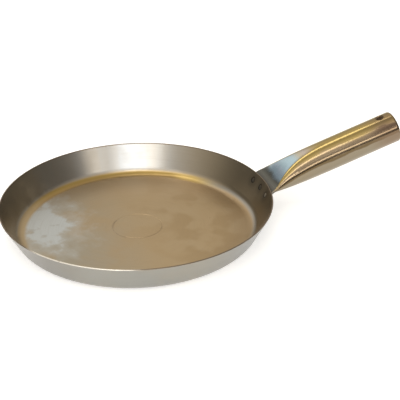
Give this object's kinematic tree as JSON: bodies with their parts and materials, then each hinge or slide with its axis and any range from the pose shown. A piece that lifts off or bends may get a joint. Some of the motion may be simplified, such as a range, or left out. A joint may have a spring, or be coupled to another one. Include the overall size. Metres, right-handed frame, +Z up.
{
  "type": "crepe pan",
  "caption": "Low round pan of carbon steel sheet with a flared wall and a spot-welded tubular steel handle, pressed flat at the pan and round with a hanging hole at its free end.",
  "frame": {"origin": "centre of the pan's flat underside, on the surface that it stands on", "axes": "+X along the handle as seen from above, +Z up out of the pan"},
  "size_m": [0.3693, 0.2396, 0.078],
  "materials": {
    "pan_steel": "spun carbon steel with a warm straw tint",
    "handle_steel": "drawn steel tube with a golden heat tint",
    "weld_steel": "pressed by the welding electrodes"
  },
  "bodies": {
    "root": {"pan_body": "pan_steel", "tubular_handle": "handle_steel", "spot_weld_1": "weld_steel", "spot_weld_2": "weld_steel", "spot_weld_3": "weld_steel"}
  },
  "joints": []
}
